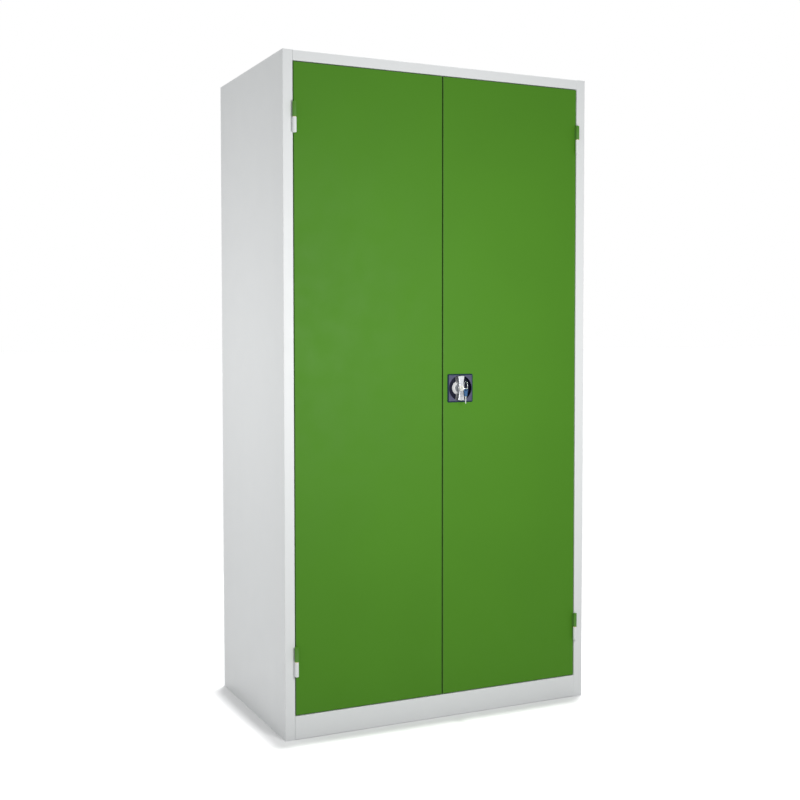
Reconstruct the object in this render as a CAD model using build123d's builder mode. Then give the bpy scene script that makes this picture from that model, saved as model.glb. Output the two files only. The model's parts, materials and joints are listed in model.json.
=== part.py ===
from build123d import *
import math
import os

# Tool cabinet with two hinged doors, in millimetres. The origin is the centre of the footprint
# on the floor, +X is to the right as seen from the front, +Y is to the back and +Z is up.

# ---------------------------------------------------------------- driving dimensions

# Carcass
cabinet_width = 1000.0
cabinet_depth = 600.0
cabinet_height = 1950.0
carcass_sheet = 1.0
outer_bend = 2.0
stile_width = 30.0
top_rail_height = 29.0
plinth_height = 68.0
stop_lip = 14.0
rear_flange = 25.0
floor_flange = 35.0
floor_rear_flange = 30.0
rear_rail_height = 75.0
corner_relief = 0.5

# Holes for levelling feet
foot_hole_radius = 5.5
foot_inset_x = 70.0
foot_inset_y = 20.0

# Pressed beads of the back panel
bead_width = 24.0
bead_depth = 5.0
bead_end_margin = 150.0
bead_spacing = 340.0

# Doors
door_depth = 22.0
door_sheet = 1.0
door_edge_radius = 2.0
door_side_gap = 2.5
door_end_gap = 2.5
centre_gap = 3.6
door_return = 18.0
stop_gap = 2.5
stiffener_sheet = 1.0
stiffener_crown = 44.0
stiffener_foot = 14.0
buffer_radius = 4.0
buffer_clearance = 0.3
buffer_end_distance = 70.0

# Lift-off hinges welded on the front
hinge_spacing = 1536.5
hinge_axis_out = 8.0
hinge_axis_from_edge = 2.0
barrel_radius = 5.7
barrel_end_radius = 2.5
knuckle_length = 43.0
hinge_pad_width = 5.5
hinge_pad_thickness = 4.5
hinge_pin_radius = 3.0
hinge_pin_reach = 32.0
hinge_fit = 0.05
washer_thickness = 1.0
washer_radius = 5.0

# Slotted uprights, shelves and their clips
upright_width = 30.0
upright_depth = 12.0
upright_sheet = 1.5
upright_bend = 2.5
upright_front_setback = 75.0
upright_rear_setback = 50.0
upright_top_gap = 49.0
slot_pitch = 50.0
slot_first = 39.0
slot_width = 14.0
slot_height = 4.0
shelf_slots = (6, 13, 20, 27)
shelf_height = 30.0
shelf_sheet = 1.0
shelf_bend = 2.0
shelf_lip = 15.0
shelf_side_clearance = 2.0
shelf_front_setback = 55.0
shelf_rear_setback = 15.0
clip_thickness = 2.0
clip_width = 12.0
clip_reach = 16.0
clip_hook_drop = 7.0
clip_web_clearance = 0.4

# Twist-grip lock on the right door
lock_from_centre = 58.3
lock_plate_size = 85.0
lock_plate_proud = 3.0
lock_plate_corner = 4.0
lock_plate_bevel = 1.6
lock_body_size = 79.5
lock_cutout_clearance = 0.25
lock_recess_radius = 38.0
lock_recess_depth = 15.0
lock_floor_thickness = 2.0
lock_boss_radius = 9.0
lock_boss_length = 7.0
clamp_frame_width = 12.0
lock_screw_radius = 2.0
lock_screw_length = 12.0
lock_screw_head_radius = 3.8
lock_screw_head = 2.4
lock_screw_inset = 5.5
case_flange_size = 100.0
case_sheet = 1.5
case_width = 52.0
case_height = 66.0
case_corner = 3.0

# Grip, spindle and pinion
grip_radius = 37.0
grip_end_width = 21.0
grip_waist = 13.5
grip_proud = 10.3
grip_edge_radius = 1.6
grip_floor_gap = 0.5
grip_disc_radius = 20.5
grip_disc_top_radius = 14.0
grip_disc_height = 7.5
grip_boss_radius = 9.5
grip_boss_proud = 0.6
grip_boss_edge = 0.5
spindle_radius = 6.0
spindle_fit = 0.05
spindle_square = 8.0
gear_module = 1.5
pinion_teeth = 16
pinion_width = 8.0
pressure_angle = 20.0
rack_addendum = 1.3
gear_dedendum = 1.9
gear_backlash = 0.2
rack_thickness = 6.0
rack_back = 7.0
rack_below = 30.0
rack_above = 52.0
rack_fit = 0.4
rod_radius = 4.5
rod_lip_clearance = 1.0
rod_end_gap = 3.0
rod_taper = 2.0
guide_sheet = 2.0
guide_width = 20.0
guide_foot = 16.0
guide_rim = 5.0
guide_fit = 0.3
guide_end_distance = 60.0
guide_lock_distance = 330.0
cam_width = 15.0
cam_thickness = 3.0
cam_length = 74.0
cam_head = 12.0
cam_crank_at = 43.0
cam_crank_run = 13.0
cam_gap = 0.9
cam_flange_gap = 1.6
cam_screw_head_radius = 5.0
cam_screw_head = 3.0
cam_screw_length = 10.0
cam_screw_radius = 2.5

# Key cylinder, keys and split ring
cylinder_radius = 8.0
cylinder_length = 19.0
plug_radius = 5.5
plug_fit = 0.05
plug_proud = 0.6
plug_tail_gap = 0.2
key_slot_fit = 0.2
key_blade_width = 8.4
key_blade_thickness = 1.8
key_blade_length = 17.0
key_neck = 3.5
key_neck_width = 7.0
key_bow_radius = 9.0
key_bow_thickness = 1.8
key_hole_radius = 3.0
key_hole_rim = 4.8
ring_radius = 12.0
ring_wire = 0.8
ring_rise = 8.0
ring_seat = -0.25
spare_head_width = 12.5
spare_head_height = 22.0
spare_head_thickness = 4.0
spare_hole_radius = 2.3
spare_hole_rim = 1.6
spare_blade_width = 4.0
spare_blade_length = 22.0
spare_head_corner = 5.0
spare_blade_thickness = 1.8
spare_tip = 1.2
spare_fit = 0.5

# Shoot bolts of the left door
bolt_from_centre = 32.0
bolt_radius = 4.0
bolt_length = 150.0
bolt_knob_radius = 3.5
bolt_knob_length = 17.0
bolt_guide_inset = 30.0
keeper_hole_clearance = 1.5

# ---------------------------------------------------------------- derived places

side_x = cabinet_width / 2
front_y = -cabinet_depth / 2
back_y = cabinet_depth / 2
opening_x = side_x - stile_width
opening_bottom = plinth_height
opening_top = cabinet_height - top_rail_height
inner_bend = outer_bend - carcass_sheet
under_top = cabinet_height - carcass_sheet
side_inner_x = side_x - carcass_sheet
panel_back_y = back_y - carcass_sheet
panel_front_y = panel_back_y - carcass_sheet
floor_top = opening_bottom + stop_lip

door_back_y = front_y + door_depth
lip_y = door_back_y + stop_gap
lip_back_y = lip_y + carcass_sheet
door_outer_x = opening_x - door_side_gap
door_inner_x = centre_gap / 2
door_width = door_outer_x - door_inner_x
door_middle_x = (door_outer_x + door_inner_x) / 2
door_bottom = opening_bottom + door_end_gap
door_top = opening_top - door_end_gap
door_height = door_top - door_bottom
door_middle_z = (door_top + door_bottom) / 2

hinge_x = opening_x - hinge_axis_from_edge
hinge_y = front_y - hinge_axis_out
hinge_levels = (door_middle_z - hinge_spacing / 2, door_middle_z + hinge_spacing / 2)

upright_face_x = side_inner_x - upright_depth
upright_front_y = front_y + upright_front_setback
upright_rear_y = back_y - upright_rear_setback
upright_top = cabinet_height - upright_top_gap
slot_levels = [
    floor_top + slot_first + n * slot_pitch
    for n in range(int((upright_top - floor_top - slot_first) // slot_pitch) + 1)
    if floor_top + slot_first + n * slot_pitch < upright_top - slot_pitch / 2
]
shelf_front_y = front_y + shelf_front_setback
shelf_rear_y = back_y - shelf_rear_setback
shelf_half_width = upright_face_x - shelf_side_clearance
shelf_levels = [floor_top + slot_first + n * slot_pitch + clip_thickness for n in shelf_slots]

lock_x = lock_from_centre
lock_z = door_middle_z
lock_front_y = front_y - lock_plate_proud
recess_floor_y = lock_front_y + lock_recess_depth
housing_back_y = recess_floor_y + lock_floor_thickness
boss_back_y = housing_back_y + lock_boss_length
grip_front_y = front_y - grip_proud
grip_back_y = recess_floor_y - grip_floor_gap
boss_front_y = grip_front_y - grip_boss_proud
pitch_radius = gear_module * pinion_teeth / 2
rod_y = lip_back_y + rod_lip_clearance + rod_radius
rod_offset = pitch_radius + rack_back
rod_travel = pitch_radius * math.pi / 2
pinion_front_y = rod_y - pinion_width / 2
pinion_back_y = rod_y + pinion_width / 2
case_back_y = pinion_back_y + cam_gap + case_sheet
cam_front_y = case_back_y + cam_gap
cam_back_y = cam_front_y + cam_thickness
plug_front_y = boss_front_y - plug_proud
cylinder_back_y = boss_front_y + cylinder_length
bow_y = plug_front_y - key_neck - key_bow_radius
key_hole_y = bow_y - (key_bow_radius - key_hole_rim)
ring_y = key_hole_y - ring_seat - math.sqrt(ring_radius**2 - ring_rise**2)
ring_z = lock_z + ring_rise
spare_hinge_z = ring_z - ring_radius
spare_hole_z = spare_hinge_z - (spare_hole_radius - ring_wire - spare_fit)

pieces = {}


def keep(name, built):
    """Labels a finished piece and keeps it under its name."""
    built.part.label = name
    pieces[name] = built


def folded_section(points, radii, thickness, side):
    """The section of a sheet folded along the points, with a bend radius at each corner."""
    with BuildSketch() as section:
        with BuildLine():
            FilletPolyline(*points, radius=radii)
            offset(amount=thickness, side=side)
        make_face()
    return section.sketch


def facing(y):
    """The upright plane at a depth, looking out of the front: local X is right and Y is up."""
    return Plane.XZ.offset(-y)


def at_lock(y):
    """The same plane with its centre on the axis of the lock."""
    return Plane(origin=(lock_x, y, lock_z), x_dir=(1, 0, 0), z_dir=(0, -1, 0))


# ---------------------------------------------------------------- carcass


def side_panel():
    """Left side: the wall, its front stile with the return and stop lip, and the rear flange."""
    section = (
        (-opening_x + stop_lip, lip_y),
        (-opening_x, lip_y),
        (-opening_x, front_y),
        (-side_x, front_y),
        (-side_x, back_y),
        (-side_x + rear_flange, back_y),
    )
    radii = (inner_bend, outer_bend, outer_bend, outer_bend)
    lip_start_y = lip_y - inner_bend
    lip_zone_depth = lip_back_y + corner_relief - lip_start_y
    with BuildPart() as panel:
        with BuildSketch(Plane.XY):
            add(folded_section(section, radii, carcass_sheet, Side.RIGHT))
        extrude(amount=cabinet_height)
        # the top sheet lies inside the wall and the stile, on all that is folded inwards
        with BuildSketch(Plane.XY.offset(under_top)):
            with Locations((0, 0)):
                Rectangle(2 * side_inner_x, cabinet_depth - 2 * carcass_sheet)
        extrude(amount=carcass_sheet, mode=Mode.SUBTRACT)
        # the lip runs only beside the door opening
        with BuildSketch(Plane.XY, Plane.XY.offset(opening_top)):
            with Locations((-opening_x + stop_lip / 2, lip_start_y + lip_zone_depth / 2)):
                Rectangle(stop_lip, lip_zone_depth)
        extrude(amount=opening_bottom, mode=Mode.SUBTRACT)
    return panel


left_side_panel = side_panel()
keep("left_side_panel", left_side_panel)

with BuildPart() as right_side_panel:
    mirror(left_side_panel.part, about=Plane.YZ)
keep("right_side_panel", right_side_panel)

lip_end_x = opening_x - stop_lip - corner_relief
lip_notch = opening_x - lip_end_x
strip_x = (opening_x + side_inner_x) / 2
strip_width = side_inner_x - opening_x

with BuildPart() as top_panel:
    top_section = (
        (lip_y, opening_top - stop_lip),
        (lip_y, opening_top),
        (front_y, opening_top),
        (front_y, cabinet_height),
        (panel_back_y, cabinet_height),
    )
    top_radii = (inner_bend, outer_bend, outer_bend)
    with BuildSketch(Plane.YZ):
        add(folded_section(top_section, top_radii, carcass_sheet, Side.RIGHT))
    extrude(amount=opening_x, both=True)
    # the sheet also covers the hollow stiles at both ends
    with BuildSketch(Plane.XY.offset(under_top)):
        with Locations((-strip_x, 0), (strip_x, 0)):
            Rectangle(strip_width, 2 * panel_back_y)
    extrude(amount=carcass_sheet)
    # the lip is notched where the lips of the stiles end
    with BuildSketch(Plane.XY.offset(opening_top)):
        with Locations((-opening_x + lip_notch / 2, lip_y), (opening_x - lip_notch / 2, lip_y)):
            Rectangle(lip_notch, 2 * outer_bend + carcass_sheet)
    extrude(amount=-stop_lip, mode=Mode.SUBTRACT)
keep("top_panel", top_panel)

with BuildPart() as base_panel:
    base_section = (
        (front_y + floor_flange, 0),
        (front_y, 0),
        (front_y, opening_bottom),
        (lip_y, opening_bottom),
        (lip_y, floor_top),
        (panel_front_y, floor_top),
        (panel_front_y, floor_top - floor_rear_flange),
    )
    base_radii = (outer_bend, outer_bend, inner_bend, outer_bend, outer_bend)
    with BuildSketch(Plane.YZ):
        add(folded_section(base_section, base_radii, carcass_sheet, Side.RIGHT))
    extrude(amount=opening_x, both=True)
    # the riser is notched round the lips of the stiles, and the floor reaches both walls behind
    with BuildSketch(Plane.XY.offset(opening_bottom)):
        with Locations((-opening_x + lip_notch / 2, lip_y), (opening_x - lip_notch / 2, lip_y)):
            Rectangle(lip_notch, 2 * (carcass_sheet + outer_bend))
    extrude(amount=stop_lip, mode=Mode.SUBTRACT)
    floor_start_y = lip_back_y + corner_relief
    floor_length = panel_front_y - outer_bend - floor_start_y
    with BuildSketch(Plane.XY.offset(floor_top - carcass_sheet)):
        with Locations((0, floor_start_y + floor_length / 2)):
            Rectangle(2 * side_inner_x, floor_length)
    extrude(amount=carcass_sheet)
    # keeper holes for the lower lock rod and for the lower shoot bolt
    with BuildSketch(Plane.XY.offset(floor_top)):
        with Locations((lock_x + rod_offset, rod_y)):
            Circle(rod_radius + keeper_hole_clearance)
        with Locations((-bolt_from_centre, rod_y)):
            Circle(bolt_radius + keeper_hole_clearance)
    extrude(amount=-carcass_sheet, mode=Mode.SUBTRACT)
    # holes for levelling feet in the front floor flange
    with BuildSketch(Plane.XY):
        with GridLocations(2 * (side_x - foot_inset_x), 2 * (back_y - foot_inset_y), 2, 2):
            Circle(foot_hole_radius)
    extrude(amount=carcass_sheet, mode=Mode.SUBTRACT)
keep("base_panel", base_panel)

with BuildPart() as rear_base_rail:
    rail_face_y = panel_front_y - carcass_sheet
    rail_section = (
        (rail_face_y - floor_flange, 0),
        (rail_face_y, 0),
        (rail_face_y, rear_rail_height),
    )
    with BuildSketch(Plane.YZ):
        add(folded_section(rail_section, (outer_bend,), carcass_sheet, Side.LEFT))
    extrude(amount=side_inner_x, both=True)
    with BuildSketch(Plane.XY):
        with GridLocations(2 * (side_x - foot_inset_x), 2 * (back_y - foot_inset_y), 2, 2):
            Circle(foot_hole_radius)
    extrude(amount=carcass_sheet, mode=Mode.SUBTRACT)
keep("rear_base_rail", rear_base_rail)

with BuildPart() as back_panel:
    panel_plane = facing(panel_back_y)
    panel_middle_z = under_top / 2
    bead_length = under_top - 2 * bead_end_margin
    with BuildSketch(panel_plane):
        with Locations((0, panel_middle_z)):
            Rectangle(2 * (side_inner_x - inner_bend), under_top)
    extrude(amount=carcass_sheet)
    # two beads pressed inwards from behind
    with BuildSketch(panel_plane):
        with Locations((-bead_spacing / 2, panel_middle_z), (bead_spacing / 2, panel_middle_z)):
            SlotOverall(bead_length + 2 * carcass_sheet, bead_width + 2 * carcass_sheet, rotation=90)
    extrude(amount=bead_depth + carcass_sheet)
    with BuildSketch(panel_plane):
        with Locations((-bead_spacing / 2, panel_middle_z), (bead_spacing / 2, panel_middle_z)):
            SlotOverall(bead_length, bead_width, rotation=90)
    extrude(amount=bead_depth, mode=Mode.SUBTRACT)
keep("back_panel", back_panel)

# ---------------------------------------------------------------- uprights, shelves, clips


def upright(side, middle_y):
    """A slotted channel against a side wall: side is -1 on the left and 1 on the right."""
    wall_x = side * side_inner_x
    face_x = side * upright_face_x
    section = (
        (wall_x, middle_y - upright_width / 2),
        (face_x, middle_y - upright_width / 2),
        (face_x, middle_y + upright_width / 2),
        (wall_x, middle_y + upright_width / 2),
    )
    inward = Side.RIGHT if side > 0 else Side.LEFT
    with BuildPart() as channel:
        with BuildSketch(Plane.XY.offset(floor_top)):
            add(folded_section(section, (upright_bend, upright_bend), upright_sheet, inward))
        extrude(amount=upright_top - floor_top)
        with BuildSketch(Plane.YZ.offset(face_x)):
            with Locations([(middle_y, level + slot_height / 2) for level in slot_levels]):
                Rectangle(slot_width, slot_height)
        extrude(amount=side * upright_sheet, mode=Mode.SUBTRACT)
    return channel


upright_places = {
    "front_left": (-1, upright_front_y),
    "front_right": (1, upright_front_y),
    "rear_left": (-1, upright_rear_y),
    "rear_right": (1, upright_rear_y),
}
for place, (side, middle_y) in upright_places.items():
    keep(f"{place}_upright", upright(side, middle_y))


def shelf(level):
    """A tray shelf with four folded edges and a return lip under each, resting at a level."""
    middle_y = (shelf_front_y + shelf_rear_y) / 2
    length = shelf_rear_y - shelf_front_y
    with BuildPart() as tray:
        with BuildSketch(Plane.XY.offset(level)):
            with Locations((0, middle_y)):
                Rectangle(2 * shelf_half_width, length)
        extrude(amount=shelf_height)
        top_face = tray.faces().sort_by(Axis.Z)[-1]
        fillet(top_face.edges(), shelf_bend)
        offset(amount=-shelf_sheet, openings=tray.faces().sort_by(Axis.Z)[0])
        with BuildSketch(Plane.XY.offset(level)):
            with Locations((0, middle_y)):
                Rectangle(2 * shelf_half_width, length)
                inner_width = 2 * (shelf_half_width - shelf_lip)
                Rectangle(inner_width, length - 2 * shelf_lip, mode=Mode.SUBTRACT)
        extrude(amount=shelf_sheet)
    return tray


for number, level in enumerate(shelf_levels, start=1):
    keep(f"shelf_{number}", shelf(level))

with BuildPart() as shelf_clips:
    # each clip is a strip that hooks down behind a slot and carries a shelf on its flat tab
    hook_x = upright_face_x + upright_sheet + clip_web_clearance + clip_thickness
    tab_end_x = shelf_half_width - clip_reach
    for level in shelf_levels:
        clip_section = (
            (hook_x, level - clip_thickness - clip_hook_drop),
            (hook_x, level),
            (tab_end_x, level),
        )
        for middle_y in (upright_front_y, upright_rear_y):
            with BuildSketch(facing(middle_y)):
                add(folded_section(clip_section, (clip_thickness,), clip_thickness, Side.LEFT))
            extrude(amount=clip_width / 2, both=True)
    mirror(about=Plane.YZ)
keep("shelf_clips", shelf_clips)

# ---------------------------------------------------------------- doors


def door_panel(side):
    """A pan with folded edges and a return all round its back: side is -1 for the left door."""
    middle = (side * door_middle_x, door_middle_z)
    with BuildPart() as pan:
        with BuildSketch(facing(door_back_y)):
            with Locations(middle):
                Rectangle(door_width, door_height)
        extrude(amount=door_depth)
        fillet(pan.faces().sort_by(Axis.Y)[0].edges(), door_edge_radius)
        offset(amount=-door_sheet, openings=pan.faces().sort_by(Axis.Y)[-1])
        with BuildSketch(facing(door_back_y)):
            with Locations(middle):
                Rectangle(door_width, door_height)
                inner_height = door_height - 2 * door_return
                Rectangle(door_width - 2 * door_return, inner_height, mode=Mode.SUBTRACT)
        extrude(amount=door_sheet)
    return pan


def door_stiffener(side):
    """A hat section from the skin to the back of the pan, down the middle of the door."""
    middle_x = side * door_middle_x
    skin_y = front_y + door_sheet
    crown_y = door_back_y - door_sheet - stiffener_sheet
    half_crown = stiffener_crown / 2
    section = (
        (middle_x - half_crown - stiffener_foot, skin_y),
        (middle_x - half_crown, skin_y),
        (middle_x - half_crown, crown_y),
        (middle_x + half_crown, crown_y),
        (middle_x + half_crown, skin_y),
        (middle_x + half_crown + stiffener_foot, skin_y),
    )
    foot_bend = 2 * stiffener_sheet
    radii = (foot_bend, stiffener_sheet, stiffener_sheet, foot_bend)
    with BuildPart() as hat:
        with BuildSketch(Plane.XY.offset(door_bottom + door_edge_radius)):
            add(folded_section(section, radii, stiffener_sheet, Side.LEFT))
        extrude(amount=door_height - 2 * door_edge_radius)
    return hat


left_door_panel = door_panel(-1)
keep("left_door_panel", left_door_panel)

with BuildPart() as right_door_panel:
    add(door_panel(1).part)
    cutout_size = lock_body_size + 2 * lock_cutout_clearance
    with BuildSketch(at_lock(front_y)):
        Rectangle(cutout_size, cutout_size)
    extrude(amount=-door_sheet, mode=Mode.SUBTRACT)
keep("right_door_panel", right_door_panel)

keep("left_door_stiffener", door_stiffener(-1))
keep("right_door_stiffener", door_stiffener(1))

with BuildPart() as door_buffers:
    # rubber discs stuck on the stop lips, just clear of the closed doors
    beside_x = opening_x - stop_lip / 2
    middle_lip_x = door_return + stop_lip
    side_levels = (door_bottom + buffer_end_distance, door_middle_z, door_top - buffer_end_distance)
    end_levels = (opening_bottom + stop_lip / 2, opening_top - stop_lip / 2)
    with BuildSketch(facing(lip_y)):
        for side in (-1, 1):
            with Locations([(side * beside_x, level) for level in side_levels]):
                Circle(buffer_radius)
            with Locations([(side * middle_lip_x, level) for level in end_levels]):
                Circle(buffer_radius)
    extrude(amount=stop_gap - buffer_clearance)
keep("door_buffers", door_buffers)

# ---------------------------------------------------------------- hinges


def knuckle(level, axis_x, pad_side, length, bore_radius, bore_depth):
    """A hinge knuckle from its flat face at a level to its rounded end, with a weld pad."""
    pad_x = axis_x + pad_side * hinge_pad_width / 2
    direction = math.copysign(1, length)
    rounded_end = -1 if length > 0 else 0
    face = Plane.XY.offset(level)
    with BuildPart() as barrel:
        with BuildSketch(face):
            with Locations((axis_x, hinge_y)):
                Circle(barrel_radius)
        extrude(amount=length)
        fillet(barrel.faces().sort_by(Axis.Z)[rounded_end].edges(), barrel_end_radius)
        with BuildSketch(face):
            with Locations((pad_x, front_y - hinge_pad_thickness / 2)):
                Rectangle(hinge_pad_width, hinge_pad_thickness)
        extrude(amount=length - direction * barrel_end_radius)
        with BuildSketch(face):
            with Locations((axis_x, hinge_y)):
                Circle(bore_radius)
        extrude(amount=direction * bore_depth, mode=Mode.SUBTRACT)
    return barrel


pin_bore = hinge_pin_radius + hinge_fit
for word, side in (("left", -1), ("right", 1)):
    with BuildPart() as door_knuckles:
        for level in hinge_levels:
            face_z = level + washer_thickness
            bore_depth = hinge_pin_reach + washer_thickness
            add(knuckle(face_z, side * hinge_x, -side, knuckle_length, pin_bore, bore_depth).part)
    keep(f"{word}_door_knuckles", door_knuckles)
    with BuildPart() as body_knuckles:
        for level in hinge_levels:
            seat_radius = hinge_pin_radius
            add(knuckle(level, side * hinge_x, side, -knuckle_length, seat_radius, hinge_pin_reach).part)
    keep(f"{word}_body_knuckles", body_knuckles)

hinge_axes = [(-hinge_x, hinge_y), (hinge_x, hinge_y)]
hinge_planes = [Plane.XY.offset(level) for level in hinge_levels]

with BuildPart() as hinge_pins:
    with BuildSketch(*hinge_planes):
        with Locations(hinge_axes):
            Circle(hinge_pin_radius)
    extrude(amount=hinge_pin_reach + washer_thickness)
    with BuildSketch(*hinge_planes):
        with Locations(hinge_axes):
            Circle(hinge_pin_radius)
    extrude(amount=-hinge_pin_reach)
keep("hinge_pins", hinge_pins)

with BuildPart() as hinge_washers:
    with BuildSketch(*hinge_planes):
        with Locations(hinge_axes):
            Circle(washer_radius)
            Circle(pin_bore, mode=Mode.SUBTRACT)
    extrude(amount=washer_thickness)
keep("hinge_washers", hinge_washers)

# ---------------------------------------------------------------- lock housing and case

screw_spacing = lock_body_size - 2 * lock_screw_inset

with BuildPart() as lock_housing:
    with BuildSketch(at_lock(front_y)):
        RectangleRounded(lock_plate_size, lock_plate_size, lock_plate_corner)
    extrude(amount=lock_plate_proud)
    chamfer(lock_housing.faces().sort_by(Axis.Y)[0].edges(), lock_plate_bevel)
    with BuildSketch(at_lock(housing_back_y)):
        Rectangle(lock_body_size, lock_body_size)
    extrude(amount=housing_back_y - front_y)
    with BuildSketch(at_lock(boss_back_y)):
        Circle(lock_boss_radius)
    extrude(amount=lock_boss_length)
    with BuildSketch(at_lock(lock_front_y)):
        Circle(lock_recess_radius)
    extrude(amount=-lock_recess_depth, mode=Mode.SUBTRACT)
    with BuildSketch(at_lock(boss_back_y)):
        Circle(spindle_radius + spindle_fit)
    extrude(amount=boss_back_y - recess_floor_y, mode=Mode.SUBTRACT)
    with BuildSketch(at_lock(housing_back_y)):
        with GridLocations(screw_spacing, screw_spacing, 2, 2):
            Circle(lock_screw_radius)
    extrude(amount=lock_screw_length, mode=Mode.SUBTRACT)
keep("lock_housing", lock_housing)

with BuildPart() as lock_clamp_frame:
    frame_outer = lock_body_size + 2 * clamp_frame_width
    frame_inner = lock_body_size + 2 * lock_cutout_clearance
    with BuildSketch(at_lock(housing_back_y)):
        Rectangle(frame_outer, frame_outer)
        Rectangle(frame_inner, frame_inner, mode=Mode.SUBTRACT)
    extrude(amount=housing_back_y - front_y - door_sheet)
keep("lock_clamp_frame", lock_clamp_frame)

with BuildPart() as lock_case:
    flange_back_y = housing_back_y + case_sheet
    cavity_width = case_width - 2 * case_sheet
    cavity_height = case_height - 2 * case_sheet
    with BuildSketch(at_lock(case_back_y)):
        RectangleRounded(case_width, case_height, case_corner)
    extrude(amount=case_back_y - housing_back_y)
    with BuildSketch(at_lock(flange_back_y)):
        RectangleRounded(case_flange_size, case_flange_size, case_corner)
    extrude(amount=case_sheet)
    with BuildSketch(at_lock(case_back_y - case_sheet)):
        Rectangle(cavity_width, cavity_height)
    extrude(amount=case_back_y - case_sheet - flange_back_y, mode=Mode.SUBTRACT)
    # bores for the housing's boss and for the tail of the spindle
    with BuildSketch(at_lock(flange_back_y)):
        Circle(lock_boss_radius + guide_fit)
    extrude(amount=case_sheet, mode=Mode.SUBTRACT)
    with BuildSketch(at_lock(case_back_y)):
        Circle(spindle_radius + guide_fit)
    extrude(amount=case_sheet, mode=Mode.SUBTRACT)
    with BuildSketch(at_lock(flange_back_y)):
        with GridLocations(screw_spacing, screw_spacing, 2, 2):
            Circle(lock_screw_radius)
    extrude(amount=case_sheet, mode=Mode.SUBTRACT)
    # one rack leaves through the top wall, the other through the bottom wall
    rack_inside = pitch_radius + gear_dedendum
    rack_outside = rod_offset + rod_radius
    slot_offset = (rack_inside + rack_outside) / 2
    slot_wide = rack_outside - rack_inside + 2 * rack_fit
    slot_deep = rack_thickness + 2 * rack_fit
    with BuildSketch(Plane.XY.offset(lock_z + cavity_height / 2)):
        with Locations((lock_x - slot_offset, rod_y)):
            Rectangle(slot_wide, slot_deep)
    extrude(amount=case_sheet, mode=Mode.SUBTRACT)
    with BuildSketch(Plane.XY.offset(lock_z - cavity_height / 2)):
        with Locations((lock_x + slot_offset, rod_y)):
            Rectangle(slot_wide, slot_deep)
    extrude(amount=-case_sheet, mode=Mode.SUBTRACT)
keep("lock_case", lock_case)

with BuildPart() as lock_screws:
    head_y = housing_back_y + case_sheet
    with BuildSketch(at_lock(head_y)):
        with GridLocations(screw_spacing, screw_spacing, 2, 2):
            Circle(lock_screw_radius)
    extrude(amount=lock_screw_length)
    with BuildSketch(at_lock(head_y + lock_screw_head)):
        with GridLocations(screw_spacing, screw_spacing, 2, 2):
            Circle(lock_screw_head_radius)
    extrude(amount=lock_screw_head)
    head_faces = lock_screws.faces().filter_by(Axis.Y).group_by(Axis.Y)[-1]
    fillet(head_faces.edges(), lock_screw_head / 3)
keep("lock_screws", lock_screws)

# ---------------------------------------------------------------- grip, spindle, gear and cam

with BuildPart() as twist_grip:
    disc_slope = math.degrees(math.atan2(grip_disc_radius - grip_disc_top_radius, grip_disc_height))
    end_x = grip_end_width / 2
    end_z = math.sqrt(grip_radius**2 - end_x**2)
    with BuildSketch(at_lock(grip_back_y)):
        with BuildLine():
            ThreePointArc((end_x, end_z), (0, grip_radius), (-end_x, end_z))
            ThreePointArc((-end_x, end_z), (-grip_waist / 2, 0), (-end_x, -end_z))
            ThreePointArc((-end_x, -end_z), (0, -grip_radius), (end_x, -end_z))
            ThreePointArc((end_x, -end_z), (grip_waist / 2, 0), (end_x, end_z))
        make_face()
    extrude(amount=grip_back_y - grip_front_y)
    fillet(twist_grip.faces().sort_by(Axis.Y)[0].edges(), grip_edge_radius)
    with BuildSketch(at_lock(grip_back_y)):
        Circle(grip_boss_radius)
    extrude(amount=grip_back_y - boss_front_y)
    fillet(twist_grip.faces().sort_by(Axis.Y)[0].edges(), grip_boss_edge)
    with BuildSketch(at_lock(grip_back_y)):
        Circle(grip_disc_radius)
    extrude(amount=grip_disc_height, taper=disc_slope)
    with BuildSketch(at_lock(boss_front_y)):
        Circle(cylinder_radius)
    extrude(amount=-cylinder_length, mode=Mode.SUBTRACT)
keep("twist_grip", twist_grip)

with BuildPart() as spindle:
    with BuildSketch(at_lock(pinion_front_y)):
        Circle(spindle_radius)
    extrude(amount=pinion_front_y - grip_back_y)
    with BuildSketch(at_lock(cam_back_y)):
        Rectangle(spindle_square, spindle_square)
    extrude(amount=cam_back_y - pinion_front_y)
    with BuildSketch(at_lock(cam_back_y)):
        Circle(cam_screw_radius)
    extrude(amount=cam_screw_length, mode=Mode.SUBTRACT)
keep("spindle", spindle)


def involute(angle):
    """The involute function of an angle in radians."""
    return math.tan(angle) - angle


def tooth_half_angle(radius):
    """Half the angle that a pinion tooth fills at a radius, in radians."""
    alpha = math.radians(pressure_angle)
    base_radius = pitch_radius * math.cos(alpha)
    half_pitch_tooth = (math.pi * gear_module - gear_backlash) / 4 / pitch_radius
    local = math.acos(min(1.0, base_radius / radius))
    return half_pitch_tooth + involute(alpha) - involute(local)


def on_gear(radius, angle):
    """A point of the gear's section at a radius and an angle in radians."""
    return (radius * math.cos(angle), radius * math.sin(angle))


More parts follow.
